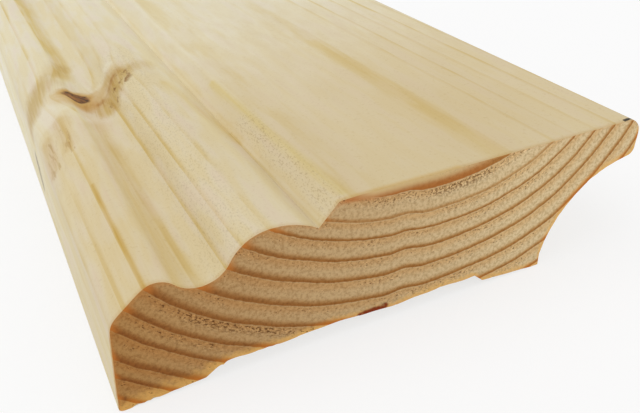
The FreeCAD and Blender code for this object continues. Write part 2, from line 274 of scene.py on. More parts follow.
board = {
    "wear": 0.13,              # how far the planed edges are worn back at the sawn ends
    "wearSpread": 0.05,
    "wearWindow": 9,           # cut lines over which the wear changes
    "wearMost": 0.3,           # share of the height of the wood that can be worn off
    "chips": 0.22,             # more along the back, where the saw came out
    "chipWindow": 5,
    "chipFrom": 0.25,          # less luck than this makes no chip
    "chipBeside": 0.35,        # share of a chip or splinter that the row beside it has too
    # places along the back of the near end: where, how far it juts out, how broad
    "splinters": [(-31.6, 0.35, 0.4), (-44.7, -0.45, 0.5), (-43.2, -0.20, 0.3), (-42.2, -0.45, 0.3)],
    # the back hollow was planed unevenly: a wave's height and length, how far to the left it
    # lies at the near end, and how much further per mm along the board
    "hollowWave": (0.24, 21.5, 13.0, 0.03),
    "hollowRipple": (0.06, 6.5, 0.0, -0.02),
    "hollowTilt": 0.012,
    "hollowMiddle": -5.0,      # place across that the tilt turns about
    "hollowEdge": 3.0,         # it comes in over this at the hollow's sides
    "firstRow": 0.18,          # from an end to the next row along the board
    "endRows": 16,             # these lie closer together towards the end
    "rowPower": 2.2,
    "rowGap": 36.0,
    "capRows": 64,
    "farCapRows": 20,
    "softSunk": 0.03,          # soft wood lies this far below the hard lines on a sawn end
    "tornSunk": 0.16,          # and this far where it is torn
    "sunkFrom": 0.08,          # share of a year's width after which it is all sunk
    "softEnd": (0.85, 0.25),   # share at which that is over, and the share it takes to end
    "tornEnd": (0.6, 0.3),
    "tornLeast": 0.12,         # how much the saw tore where no torn place is named
    "tornReach": 1.4,          # where a torn place has faded out, in halves of its width
    "sharpAngle": 28.0,        # faces that meet at more than this have a crisp edge
    "seed": 7,
}


def rowPlaces():
    # Places along the board of its rows: the nth lies firstRow * n^rowPower from its end, and the
    # rest are at even steps of about rowGap
    length = section["length"]
    near = board["firstRow"] * np.arange(board["endRows"]) ** board["rowPower"]
    rest = length - 2 * near[-1]
    middle = near[-1] + np.linspace(0, rest, int(rest / board["rowGap"]) + 1)[1:-1]
    return np.concatenate([near, middle, length - near[::-1]]) - length / 2


def hollowWave(x, y):
    # Height added to the back hollow: a cosine wave and a sine ripple across it, both drifting
    # along the board, and a straight tilt
    thin, nose = section["thinFoot"], section["noseFoot"]
    half = section["width"] / 2
    left = -half + thin["width"] + thin["run"]
    right = half - section["cove"]["reach"] - nose["width"] - nose["run"]
    inside = np.clip(np.minimum(x - left, right - x) / board["hollowEdge"], 0, 1)
    fromEnd = y + section["length"] / 2

    def swell(name, shape):
        height, length, start, drift = board[name]
        return height * shape(2 * pi * (x + start + drift * fromEnd) / length)

    tilt = board["hollowTilt"] * (x - board["hollowMiddle"])
    return inside * (swell("hollowWave", np.cos) + swell("hollowRipple", np.sin) - tilt)


def smoothLuck(rng, count, window):
    # Random numbers between -1 and 1, averaged over a window and stretched back to that range
    raw = np.convolve(rng.uniform(-1, 1, count + window), np.hanning(window + 2)[1:-1], "valid")[:count]
    return raw / np.abs(raw).max()


def endWear(rng, top, bottom, outward):
    # How far the ends of each cut line are worn back along the line, at the top and at the back:
    # an even wear and some luck, chips at the back, and a bell exp(-d^2) for each splinter
    count = len(top)
    window = board["wearWindow"]
    most = board["wearMost"] * np.linalg.norm(top - bottom, axis=1)
    over = board["wear"] + board["wearSpread"] * smoothLuck(rng, count, window)
    under = board["wear"] + board["wearSpread"] * smoothLuck(rng, count, window)
    luck = smoothLuck(rng, count, board["chipWindow"])
    under += board["chips"] * np.clip(luck - board["chipFrom"], 0, 1)
    if outward < 0:
        for across, out, width in board["splinters"]:
            under -= out * np.exp(-((bottom[:, 0] - across) / width) ** 2)
    return np.minimum(over, most), np.minimum(under, most)


def endRelief(rng, inner, outward):
    # How far a sawn end is sunk: little in soft wood, more where it is torn, none at the hard lines
    years = yearsAt(inner[..., 0], inner[..., 1], inner[..., 2])
    phase = years % 1.0
    sunk = np.clip(phase / board["sunkFrom"], 0, 1)
    soft, early = (sunk * np.clip((last - phase) / width, 0, 1)
                   for last, width in (board["softEnd"], board["tornEnd"]))
    amount = np.full_like(phase, board["tornLeast"])
    for year, left, right, share in torn:
        here = np.floor(years) == (year if outward < 0 else year - 1)     # other years at the far end
        away = np.abs(inner[..., 0] - (left + right) / 2) / ((right - left) / 2)
        amount = np.maximum(amount, here * share * np.clip(board["tornReach"] - away, 0, 1))
    luck = rng.uniform(0, 1, phase.shape) ** 2
    return board["softSunk"] * soft + board["tornSunk"] * early * amount * luck


# How the board is laid out for baking, on a sheet of sheetSize units. The long sides are cut
# into stretches that lie side by side; the near one and the ends are drawn larger.
bakeSheet = {
    "sheetSize": 4096.0,
    "gap": 20.0,
    "cuts": (200.0, 750.0, 1300.0, 1850.0),     # mm from the near end
    "nearScale": 7.4,                           # units per mm
    "farScale": 4.4,
    "endScale": 23.0,
}


def layOut(points, loop, places, sideCount, quadFaces, triFaces):
    # A place on the sheet for every corner of every face. A side's corner goes by its distance
    # round the section and along its stretch, an end's corner by its place across and up.
    sheet, gap = bakeSheet["sheetSize"], bakeSheet["gap"]
    length = section["length"]
    step = np.linalg.norm(np.roll(loop, -1, axis=0) - loop, axis=1)
    around = np.concatenate([[0], np.cumsum(step)])
    size = len(loop)
    cutRows = np.searchsorted(places, np.array(bakeSheet["cuts"]) - length / 2)
    starts = np.concatenate([[0], cutRows])
    far = bakeSheet["farScale"]
    tallest = np.diff(places[np.concatenate([cutRows, [len(places) - 1]])]).max() * far
    scale = np.array([bakeSheet["nearScale"]] + [far] * len(cutRows))
    left = np.array([gap] + [gap + number * (around[-1] * far + gap) for number in range(len(cutRows))])
    low = np.array([tallest + 2 * gap] + [gap] * len(cutRows))
    row, column = np.divmod(np.arange(sideCount), size)
    stretch = np.searchsorted(cutRows, row, side="right")
    across = around[np.stack([column, column + 1, column + 1, column], axis=1)]
    along = places[np.stack([row, row, row + 1, row + 1], axis=1)] - places[starts[stretch]][:, None]
    sides = np.stack([left[stretch][:, None] + across * scale[stretch][:, None],
                      low[stretch][:, None] + along * scale[stretch][:, None]], axis=2)

    def endPlaces(faces):
        end = bakeSheet["endScale"]
        corner = points[faces]
        isFar = corner[..., 1] > 0
        way = np.where(isFar, -1.0, 1.0)
        right = gap + around[-1] * bakeSheet["nearScale"] + gap + section["width"] / 2 * end
        up = tallest + 2 * gap + isFar * (section["thickness"] * end + gap)
        return np.stack([right + way * corner[..., 0] * end, up + corner[..., 2] * end], axis=-1)

    corners = [sides.reshape(-1, 2), endPlaces(quadFaces[sideCount:]).reshape(-1, 2),
               endPlaces(triFaces).reshape(-1, 2)]
    return np.concatenate(corners) / sheet


def buildBoard():
    # The section carried along the rows, closed by the cut lines at both sawn ends
    over, under = drawSection()
    top, bottom = cutLines(over, under)
    count = len(top)
    loop = np.concatenate([top, bottom[-2:0:-1]])       # clockwise round the section
    size = len(loop)
    isBack = np.arange(size) >= count
    rng = np.random.default_rng(board["seed"])
    places = rowPlaces()
    rows = len(places)
    print("section cut by", count, "lines,", rows, "rows along the board")

    # The long sides: the section carried along the rows
    shell = np.empty((rows, size, 3))
    shell[:, :, 0] = loop[:, 0]
    shell[:, :, 1] = places[:, None]
    shell[:, :, 2] = loop[:, 1]
    shell[:, :, 2] += hollowWave(shell[:, :, 0], shell[:, :, 1]) * isBack
    wayDown = np.array([section["lean"], -1.0]) / sqrt(1 + section["lean"] ** 2)
    for row, beside, outward in ((0, 1, -1), (rows - 1, rows - 2, 1)):
        wornTop, wornBack = endWear(rng, top, bottom, outward)
        back = wornBack[-2:0:-1]
        chipped = np.where(back < 0, back, np.clip(back - board["wear"], 0, 1))
        atEnd = np.concatenate([wornTop, -back])
        behind = board["chipBeside"] * np.concatenate([0 * wornTop, -chipped])
        for place, worn in ((row, atEnd), (beside, behind)):
            shell[place, :, 0] += wayDown[0] * worn
            shell[place, :, 2] += wayDown[1] * worn
    here = np.arange(size)
    after = np.roll(here, -1)
    start = (np.arange(rows - 1) * size)[:, None]
    sides = np.stack([start + here, start + after, start + size + after, start + size + here], axis=2)
    sides = sides.reshape(-1, 4)

    # The sawn ends: straight lines from back to top, closed with triangles at both tips
    points = [shell.reshape(-1, 3)]
    toBack = [np.zeros(rows * size)]
    toFace = [np.zeros(rows * size)]
    quads = [sides]
    triangles = []
    used = rows * size
    for row, capRows, outward in ((0, board["capRows"], -1), (rows - 1, board["farCapRows"], 1)):
        ring = shell[row]
        upper = ring[1:count - 1]
        lower = ring[:count - 1:-1]
        share = (np.arange(1, capRows) / capRows)[:, None, None]
        inner = lower[None] * (1 - share) + upper[None] * share
        inner[..., 1] -= outward * endRelief(rng, inner, outward)
        length = np.linalg.norm(upper - lower, axis=1)
        toBack.append((share[:, :, 0] * length).ravel())
        toFace.append(((1 - share[:, :, 0]) * length).ravel())
        grid = np.empty((capRows + 1, count), int)
        grid[0] = row * size + np.concatenate([[0], size - np.arange(1, count - 1), [count - 1]])
        grid[-1] = row * size + np.arange(count)
        grid[1:-1, 0] = grid[0, 0]
        grid[1:-1, -1] = grid[0, -1]
        added = (capRows - 1) * (count - 2)
        grid[1:-1, 1:-1] = used + np.arange(added).reshape(capRows - 1, count - 2)
        used += added
        points.append(inner.reshape(-1, 3))
        face = np.stack([grid[:-1, 1:-2], grid[:-1, 2:-1], grid[1:, 2:-1], grid[1:, 1:-2]], axis=2)
        face = face.reshape(-1, 4)
        left = np.stack([grid[:-1, 0], grid[:-1, 1], grid[1:, 1]], axis=1)
        right = np.stack([grid[:-1, -2], grid[:-1, -1], grid[1:, -2]], axis=1)
        if outward > 0:
            face, left, right = face[:, ::-1], left[:, ::-1], right[:, ::-1]
        quads.append(face)
        triangles += [left, right]

    points = np.concatenate(points)
    quadFaces = np.concatenate(quads)
    triFaces = np.concatenate(triangles)
    mesh = bpy.data.meshes.new("planed_board")
    mesh.from_pydata((points * mm).tolist(), [], quadFaces.tolist() + triFaces.tolist())
    finish = np.ones(len(quadFaces) + len(triFaces), np.int32)
    finish[:len(sides)] = 0
    mesh.materials.append(None)
    mesh.materials.append(None)
    mesh.polygons.foreach_set("material_index", finish)
    for name, values in (("toBack", toBack), ("toFace", toFace)):
        made = mesh.attributes.new(name, "FLOAT", "POINT")
        made.data.foreach_set("value", np.concatenate(values).astype(np.float32))
    corners = layOut(points, loop, places, len(sides), quadFaces, triFaces)
    mesh.uv_layers.new(name="OFBake").data.foreach_set("uv", corners.ravel().astype(np.float32))
    print("bake sheet used from", corners.min(axis=0).round(3), "to", corners.max(axis=0).round(3))
    mesh.shade_smooth()
    mesh.set_sharp_from_angle(angle=radians(board["sharpAngle"]))
    mesh.update()
    print("board mesh", len(points), "points", 2 * len(quadFaces) + len(triFaces), "triangles")
    return mesh


nodeSheet = {"columns": 14, "width": 190, "height": 230}     # how a tree's nodes are laid out


def addNode(tree, kind, inputs=None, **settings):
    # A new node. Each entry of inputs is linked if it is a socket and set if it is a value.
    made = tree.nodes.new("ShaderNode" + kind)
    down, right = divmod(len(tree.nodes), nodeSheet["columns"])
    made.location = (nodeSheet["width"] * right, -nodeSheet["height"] * down)
    for name, value in settings.items():
        setattr(made, name, value)
    for name, value in (inputs or {}).items():
        if isinstance(value, bpy.types.NodeSocket):
            tree.links.new(value, made.inputs[name])
        else:
            made.inputs[name].default_value = value
    return made


def feed(kind, inputs, **settings):
    # A new node in the tree of the sockets that feed it
    sockets = [value for value in inputs.values() if isinstance(value, bpy.types.NodeSocket)]
    return addNode(sockets[0].id_data, kind, inputs, **settings)


def maths(operation, first, second=0.0, third=0.0):
    # Sums on numbers; MULTIPLY_ADD is first * second + third
    return feed("Math", {0: first, 1: second, 2: third}, operation=operation).outputs[0]


def product(*values):
    # All the values multiplied together
    total = values[0]
    for value in values[1:]:
        total = maths("MULTIPLY", total, value)
    return total


def vectorMaths(operation, first, second=(0.0, 0.0, 0.0)):
    made = feed("VectorMath", {0: first, 1: second}, operation=operation)
    return made.outputs["Value" if operation in ("DOT_PRODUCT", "LENGTH") else "Vector"]


def scaled(vector, factor):
    # The vector times a number
    return feed("VectorMath", {0: vector, "Scale": factor}, operation="SCALE").outputs[0]


def split(vector):
    # The three parts of a vector
    return feed("SeparateXYZ", {0: vector}).outputs


def joined(x, y=0.0, z=0.0):
    # A vector from its parts
    return feed("CombineXYZ", {0: x, 1: y, 2: z}).outputs[0]


def span(value, low, high, toLow=0.0, toHigh=1.0, kind="SMOOTHSTEP"):
    # A fade: from toLow at low to toHigh at high, and held beyond them
    inputs = {0: value, 1: low, 2: high, 3: toLow, 4: toHigh}
    return feed("MapRange", inputs, interpolation_type=kind).outputs[0]


def between(value, rise, fall):
    # Two fades multiplied, up over the first and down over the second
    return product(span(value, *rise), span(value, *fall))


def mixed(factor, first, second, mode="MIX"):
    # From the first colour at a factor of 0 to the second at 1
    made = feed("Mix", {0: factor, 6: first, 7: second}, data_type="RGBA", blend_type=mode)
    return made.outputs[2]


def tinted(factor, base, tint):
    # The base colour times the tint, as far as the factor says
    return mixed(factor, base, (*tint, 1.0), "MULTIPLY")


def noise(vector, scale, octaves=2.0, roughness=0.5):
    inputs = {"Vector": vector, "Scale": scale, "Detail": octaves, "Roughness": roughness}
    return feed("TexNoise", inputs).outputs["Fac"]


def isYear(year, number):
    # 1 in the year of that number
    return maths("COMPARE", year, float(number), 0.5)


def startGroup(name, inputs, outputs):
    # An empty node group, its input sockets and its output sockets. An input is a vector if it
    # has no value, and otherwise a number.
    tree = bpy.data.node_groups.new(name, "ShaderNodeTree")
    for label, value in inputs.items():
        kind = "NodeSocketVector" if value is None else "NodeSocketFloat"
        made = tree.interface.new_socket(name=label, in_out="INPUT", socket_type=kind)
        if value is not None:
            made.default_value = value
    for label in outputs:
        tree.interface.new_socket(name=label, in_out="OUTPUT", socket_type="NodeSocketFloat")
    return tree, tree.nodes.new("NodeGroupInput").outputs, tree.nodes.new("NodeGroupOutput").inputs


def finishGroup(tree, put, values):
    # The values linked to the group's outputs
    for name, value in values.items():
        tree.links.new(value, put[name])
    return tree


def useGroup(group, inputs):
    return feed("Group", inputs, node_tree=group).outputs


def colour(red, green, blue):
    # A colour as it is read off a screen, 0 to 255, turned to linear light
    share = np.array([red, green, blue]) / 255
    linear = np.where(share <= 0.04045, share / 12.92, ((share + 0.055) / 1.055) ** 2.4)
    return (*linear.tolist(), 1.0)


def makeRingsGroup():
    # The formula of yearsAt in nodes, with a little unevenness and the pull of the branches.
    # Phase runs from 0 to 1 through a year; the hard line darkens slowly and ends at once.
    # Radius and Around are a place in the wood's own directions: out from the pith, and round it.
    tree, get, put = startGroup("growth rings", {"Position": None, "Pull": 0.0},
                                ["Phase", "Year", "Hard Line", "Soft Wood", "Radius", "Around"])
    place = scaled(get["Position"], 1 / mm)
    x, y, z = split(place)
    fromEnd = maths("ADD", y, section["length"] / 2)
    bend = maths("SINE", product(fromEnd, 2 * pi / rings["sweepLength"]))
    lift = maths("SINE", product(fromEnd, 2 * pi / rings["sweepUpLength"]))
    pithAcross = maths("MULTIPLY_ADD", bend, -rings["sweepAcross"], rings["pith"][0])
    pithUp = maths("MULTIPLY_ADD", product(lift, lift), rings["sweepUp"], rings["pith"][1])
    across = maths("SUBTRACT", x, pithAcross)
    ratio = maths("DIVIDE", x, rings["kinkWidth"])
    bell = maths("EXPONENT", product(ratio, ratio, -1.0))
    level = maths("MULTIPLY_ADD", bell, -rings["kinkHeight"], z)
    down = maths("SUBTRACT", pithUp, level)
    onLeft = maths("LESS_THAN", across, 0.0)
    left, right = rings["stretchLeft"], rings["stretchRight"]
    stretch = maths("MULTIPLY_ADD", onLeft, left - right, right)
    power = rings["squareness"]
    sideways = maths("POWER", maths("ABSOLUTE", product(across, stretch)), power)
    upright = maths("POWER", maths("ABSOLUTE", down), power)
    radius = maths("POWER", maths("ADD", sideways, upright), 1 / power)
    around = product(maths("ARCTAN2", across, down), rings["turn"])
    for amount, size, length in rings["uneven"]:
        drawn = vectorMaths("DIVIDE", place, (size, length, size))
        uneven = maths("SUBTRACT", noise(drawn, *rings["unevenNoise"]), 0.5)
        radius = maths("MULTIPLY_ADD", uneven, 2 * amount, radius)
    radius = maths("SUBTRACT", radius, get["Pull"])

    # yearEnds as a curve of straight pieces turn the radius into years
    ends = rings["yearEnds"]
    share = maths("DIVIDE", maths("SUBTRACT", radius, ends[0]), ends[-1] - ends[0])
    curve = feed("FloatCurve", {1: share})
    line = curve.mapping.curves[0]
    curve.mapping.use_clip = False
    curve.mapping.extend = "EXTRAPOLATED"
    while len(line.points) < len(ends):
        line.points.new(0.5, 0.5)
    for number, end in enumerate(ends):
        line.points[number].location = ((end - ends[0]) / (ends[-1] - ends[0]), number / (len(ends) - 1))
        line.points[number].handle_type = "VECTOR"
    curve.mapping.update()
    years = product(curve.outputs[0], len(ends) - 1.0)
    phase = maths("FRACT", years)
    year = maths("FLOOR", years)

    middle = maths("ADD", year, 0.5)
    luck = feed("TexWhiteNoise", {"W": middle}, noise_dimensions="1D").outputs[0]
    begin = span(x, *rings["hardAcross"], rings["hardFromLeft"], rings["hardFrom"])
    begin = maths("MULTIPLY_ADD", luck, -rings["hardLuck"], begin)
    wide = isYear(year, rings["wideYear"])
    begin = maths("MULTIPLY_ADD", wide, rings["wideFrom"] - rings["hardFrom"], begin)
    thin = isYear(year, rings["thinYear"])
    begin = maths("MULTIPLY_ADD", thin, rings["thinBy"], begin)
    rise = maths("POWER", span(phase, begin, rings["hardFull"]), rings["hardPower"])
    rise = maths("MAXIMUM", rise, span(phase, *rings["lateWood"]))
    paler = maths("MULTIPLY_ADD", thin, rings["thinShare"] - 1, 1.0)
    hard = product(rise, span(phase, *rings["hardEnd"]), paler)
    soft = between(phase, rings["softStart"], rings["softEnd"])
    return finishGroup(tree, put, {"Phase": phase, "Year": year, "Hard Line": hard, "Soft Wood": soft,
                                   "Radius": radius, "Around": around})


# A disc is how far its middle lies to the left of the branch's and nearer than it, then where its
# edge starts and stops fading, all in radii of the branch.
knot = {
    "inside": (0.0, 0.0, 0.80, 1.10),
    "heart": (0.45, 0.30, 0.15, 0.75),
    "halo": (0.0, 0.75, 0.6, 2.4),
    "collar": (0.0, 0.0, 0.95, 1.7),
    "leastRadius": 0.2,
    "endFade": 3.0,            # mm over which a branch ends
    "pullPower": 1.6,
    "pullBeyond": 0.4,         # share of the pull that goes on where the branch has ended
    "pullDrawn": 0.7,          # the pull reaches further along the board: lengths count by this
    "shiftDrawn": 0.35,        # and so does the shift
}
branchParts = ("Inside", "Heart", "Halo", "Dead", "Pull", "Shift", "Near")


def makeBranchGroup():
    # Distances are taken from the branch's middle line and set against its radius there.
    # Pull falls off round the branch as exp(-(distance / reach)^1.6). Shift pushes the grain to
    # both sides by the radius, and falls off as exp(-(distance / reach)^2), drawn out lengthways.
    tree, get, put = startGroup(
        "branch", {"Position": None, "Wobble": 1.0, "Start": None, "Out": None, "Spread": 0.05,
                   "Length": 200.0, "Dead": 0.0, "Pull": 8.0, "Reach": 8.0}, branchParts)
    place = vectorMaths("SUBTRACT", scaled(get["Position"], 1 / mm), get["Start"])
    along = vectorMaths("DOT_PRODUCT", place, get["Out"])
    aside = vectorMaths("SUBTRACT", place, scaled(get["Out"], along))
    distance = vectorMaths("LENGTH", aside)
    radius = maths("MAXIMUM", product(along, get["Spread"]), knot["leastRadius"])
    nearEnd = maths("SUBTRACT", get["Length"], knot["endFade"])
    alive = span(along, nearEnd, get["Length"], 1.0, 0.0)

    def disc(left, nearer, core, edge):
        moved = joined(product(radius, left), product(radius, nearer))
        away = vectorMaths("LENGTH", vectorMaths("ADD", aside, moved))
        share = maths("DIVIDE", product(away, get["Wobble"]), radius)
        return product(span(share, core, edge, 1.0, 0.0), alive)

    def reached(drawn):
        # The distance as a share of the reach, with lengths along the board taken shorter
        drawn = vectorMaths("LENGTH", vectorMaths("MULTIPLY", aside, (1.0, drawn, 1.0)))
        return maths("DIVIDE", drawn, get["Reach"])

    inside = disc(*knot["inside"])
    heart = product(disc(*knot["heart"]), inside)
    halo = maths("MAXIMUM", disc(*knot["halo"]), disc(*knot["collar"]))
    share = maths("POWER", reached(knot["pullDrawn"]), knot["pullPower"])
    near = maths("EXPONENT", product(share, -1.0))
    beyond = knot["pullBeyond"]
    pull = product(near, get["Pull"], maths("MULTIPLY_ADD", alive, 1 - beyond, beyond))
    share = reached(knot["shiftDrawn"])
    bell = maths("EXPONENT", product(share, share, -1.0))
    sideways = maths("DIVIDE", split(aside)[0], maths("MAXIMUM", distance, radius))
    shift = product(sideways, radius, bell)
    return finishGroup(tree, put, {"Inside": inside, "Heart": heart, "Halo": halo,
                                   "Dead": product(inside, get["Dead"]), "Pull": pull,
                                   "Shift": shift, "Near": near})


streaks = {
    "grain": (0.45, 0.12, 0.45),       # how the edge's noise is drawn out
    "noise": (1.0, 3.0, 0.6),
    "wobble": (0.7, 0.65),             # distances are multiplied by this times the noise, plus this
    "leastLength": 0.01,               # mm squared
}


def makeStreakGroup():
    # 1 on the line between two points, 0 where the distance from it reaches the width
    tree, get, put = startGroup(
        "streak", {"Position": None, "From": None, "To": None, "Width": 1.0, "Core": 0.3}, ["Amount"])
    place = scaled(get["Position"], 1 / mm)
    reach = vectorMaths("SUBTRACT", place, get["From"])
    line = vectorMaths("SUBTRACT", get["To"], get["From"])
    length = maths("MAXIMUM", vectorMaths("DOT_PRODUCT", line, line), streaks["leastLength"])
    share = maths("DIVIDE", vectorMaths("DOT_PRODUCT", reach, line), length)
    share = span(share, 0.0, 1.0, kind="LINEAR")
    away = vectorMaths("LENGTH", vectorMaths("SUBTRACT", reach, scaled(line, share)))
    uneven = noise(vectorMaths("MULTIPLY", place, streaks["grain"]), *streaks["noise"])
    wobble = maths("MULTIPLY_ADD", uneven, *streaks["wobble"])
    away = maths("DIVIDE", product(away, wobble), get["Width"])
    return finishGroup(tree, put, {"Amount": span(away, get["Core"], 1.0, 1.0, 0.0)})


fibres = {
    "across": 1.6,                     # fibres to the millimetre, roughly
    "along": 0.04,
    "fine": (1.0, 4.0, 0.6),
    "broad": (0.22, 3.0, 0.55),
    "cloud": (0.035, 3.0, 0.5),
    "cloudGrain": (1.0, 0.25, 1.0),
    "mottle": (1.0, 2.0, 0.45),
    "mottleGrain": (0.42, 0.07, 0.42),
    "speck": (1.9, 2.0, 0.55),
}


def makeFibreGroup():
    # Noise drawn out along the board: fine fibres, broad ones, a cloudiness and a mottle; and specks
    tree, get, put = startGroup(
        "fibres", {"Position": None, "Across": fibres["across"], "Along": fibres["along"]},
        ["Fine", "Broad", "Cloud", "Mottle", "Speck"])
    place = scaled(get["Position"], 1 / mm)
    size = joined(get["Across"], get["Along"], get["Across"])
    drawn = vectorMaths("MULTIPLY", place, size)
    cloudy, mottled = (vectorMaths("MULTIPLY", place, fibres[name])
                       for name in ("cloudGrain", "mottleGrain"))
    return finishGroup(tree, put, {
        "Fine": noise(drawn, *fibres["fine"]),
        "Broad": noise(drawn, *fibres["broad"]),
        "Cloud": noise(cloudy, *fibres["cloud"]),
        "Mottle": noise(mottled, *fibres["mottle"]),
        "Speck": noise(place, *fibres["speck"])})


# Colours as a screen shows them; a tint multiplies the colour under it. Fades named Across go
# by the place across the board, the others by the noise, line or distance that they stand beside.
planed = {
    "pale": colour(229, 221, 197),
    "warm": colour(222, 211, 182),
    "warmFade": (0.35, 0.65),
    "goldTint": (0.99, 0.962, 0.85),
    "goldFade": (0.42, 0.62),
    "roseTint": (1.0, 0.975, 1.02),
    "roseFade": (0.32, 0.48, 1.0, 0.0),
    "mottleAcross": (-18.0, -10.0, 1.0, 0.45),
    # the same for stains and for painted light and shade
    "broadStainAndLight": 20.0,                 # stains narrower than this are uneven along the fibres
    "stainAndLightFade": (0.3, 0.7, 0.7, 1.2),
    # the ring lines and how strong they are: most at the near end's shoulder, in the valley and on
    # the nose, least on the thin edge and round the knots
    "lineTint": (0.87, 0.75, 0.40),
    "lineNear": ((-43, -1200, 17), (-43, -1180, 17), 18.0, 0.3),
    "lineNearMore": 0.55,
    "lineAcross": (-46.0, -12.0, 0.55, 0.36),
    "lineValleyAcross": ((-42.0, -37.0), (-30.0, -24.0, 0.14, 0.0)),
    "lineNoseAcross": (16.0, 26.0, 0.0, 0.18),
    "lineEdgeAcross": (-45.2, -42.4, 0.30, 1.0),
    "lineBroad": (0.35, 0.65, 0.35, 1.15),
    "lineMottle": (0.36, 0.62, 0.65, 1.4),
    "lineKnot": (0.1, 0.6, 1.0, 0.45),
    "fibreTint": (0.90, 0.85, 0.74),
    "fibreFade": (0.48, 0.78),
    "fibreStrength": (0.8, 0.18),       # more beside a knot, and everywhere
    "speckTint": (0.80, 0.70, 0.56),
    "speckFade": (0.56, 0.75, 0.0, 0.30),
    "markNoise": (1.0, 2.0, 0.6),
    "markFade": (0.53, 0.65),
    "edgeTint": (0.84, 0.64, 0.38),     # the last fraction of a millimetre before a sawn end
    "edgeFade": (-0.9, 0.0, 0.0, 0.35),
    "live": colour(180, 134, 84),
    "liveRing": colour(146, 98, 56),
    "dead": colour(128, 78, 12),
    "deadDeep": colour(66, 38, 0),
    "heart": colour(176, 118, 52),
    "haloTint": (0.77, 0.54, 0.21),
    "wobbleNoise": (0.35, 3.0),         # a knot isn't round
    "wobble": (0.5, 0.75),
    "knotNoise": (0.9, 3.0),
    "knotFade": (0.4, 0.65),
    "roughness": 0.58,
    "lineHeight": 0.5,                  # of a hard line, beside the fibres
    "bump": (0.08, 0.2),                # strength and depth in mm
}

# Streaks, each with its tint: stains, and some painted light and painted shade
stainsAndPaintedLight = [
    # the near end has yellowed, most of all towards the nose
    ((0, -1215, 12), (0, -1210, 12), 130.0, 0.3, (0.90, 0.84, 0.74)),
    ((35, -1200, 25), (35, -1150, 25), 62.0, 0.1, (0.97, 0.94, 0.87)),
    ((-42, -1205, 18.5), (-41, -1140, 19.7), 8.0, 0.2, (0.96, 0.92, 0.84)),
    # painted light: the foot of the thin edge is paler, all along, where light from the side falls on it
    ((-47.4, -1210, 3), (-47.4, 1210, 3), 12.0, 0.4, (1.09, 1.13, 1.17)),
    # a brown swirl between the first knot and the thin edge, and beyond the knot
    ((-46.0, -1124, 15.2), (-42.0, -1116, 19.4), 6.6, 0.1, (0.78, 0.66, 0.42)),
    ((-38.5, -1111, 19.6), (-35.8, -1102, 18.2), 4.2, 0.0, (0.86, 0.77, 0.60)),
    # grey where the branch nearly comes out of the thin edge
    ((-47.2, -1127, 8), (-47.2, -1134, 5), 2.6, 0.1, (0.50, 0.46, 0.42)),
    # golden bands beyond the knot and before it, across the roll and along the crest
    ((-35.5, -1104, 18), (-37.2, -1010, 19.3), 3.0, 0.0, (0.93, 0.85, 0.60)),
    ((-35.0, -1140, 18.0), (-36.0, -1205, 18.5), 4.0, 0.0, (0.93, 0.86, 0.70)),
    ((-15.6, -1168, 21.5), (-19.6, -1138, 23.3), 2.4, 0.0, (0.95, 0.89, 0.70)),
    ((-12.4, -1146, 24.7), (-10.5, -1198, 25), 1.7, 0.0, (0.97, 0.93, 0.68)),
    # the groove beside the flat face: a thin dark line in its crease at the near end, then painted light
    # along the groove and along the roll's flank beside it, where they lie in shade
    ((-14.9, -1200, 21.7), (-15.3, -1164, 21.5), 0.5, 0.0, (0.93, 0.88, 0.72)),
    ((-15.3, -1175, 21.4), (-15.3, -900, 21.4), 2.8, 0.0, (1.04, 1.035, 1.02)),
    ((-18.4, -1215, 22.8), (-18.4, -1020, 22.8), 3.0, 0.0, (1.04, 1.05, 1.03)),
    # golden brown in the valley, just before the knot
    ((-34.9, -1130, 17.9), (-32.8, -1128.5, 17.5), 3.4, 0.0, (0.86, 0.72, 0.44)),
    # the hard line on the bead is most golden at the near end
    ((-40.9, -1202, 20.0), (-41.2, -1168, 19.9), 0.6, 0.0, (0.90, 0.79, 0.50)),
    # tan where the planer marked the bead
    ((-45.6, -1152, 16.3), (-45.2, -1141, 16.7), 3.2, 0.1, (0.90, 0.82, 0.68)),
    ((-41.9, -1150, 19.4), (-41.3, -1138, 19.8), 2.8, 0.1, (0.91, 0.84, 0.70)),
    # painted light on the valley's wall, where the roll shades it, and painted shade on the nose
    ((-37.2, -1215, 19.2), (-37.2, -620, 19.2), 3.2, 0.0, (1.10, 1.12, 1.12)),
    ((46.6, -1215, 23.6), (46.6, -1100, 23.6), 1.8, 0.2, (0.90, 0.88, 0.82)),
    # torn fibres right of the knot
    ((-31.0, -1133.0, 18.1), (-26.2, -1126, 22.6), 5.0, 0.2, (0.76, 0.61, 0.30)),
    ((-30.0, -1121, 19.0), (-20.9, -1125, 23.5), 4.6, 0.0, (0.92, 0.86, 0.70)),
    ((-32.0, -1128.5, 17.7), (-27.5, -1124, 21.7), 1.1, 0.0, (0.80, 0.64, 0.42)),
    # hard wood shows through beside the rubbed edge, and in a golden band from its nose end
    ((-12, -1200, 25), (9, -1200, 25), 1.2, 0.0, (0.98, 0.91, 0.74)),
    ((17.5, -1200, 25), (16.2, -1135, 25), 3.6, 0.0, (0.985, 0.95, 0.80)),
    # the worn foot of the near end, and a dark speck at its nose corner
    ((-47.2, -1200, 3), (-46.6, -1200, 13), 1.3, 0.0, (0.84, 0.64, 0.40)),
    ((43.7, -1199.7, 25), (45.3, -1199.5, 24.7), 0.38, 0.7, (0.02, 0.015, 0.01)),
]

# A pale wedge of straight wood against the swirl, and pale fibres that turn into the knot:
# streaks, each with how pale it is
paleStreaks = [
    ((-47.2, -1136, 9.0), (-40.6, -1129.5, 20.0), 5.2, 0.65, 0.4),
    ((-31.5, -1121.5, 17.9), (-27.0, -1117, 22.0), 2.4, 0.1, 0.5),
]

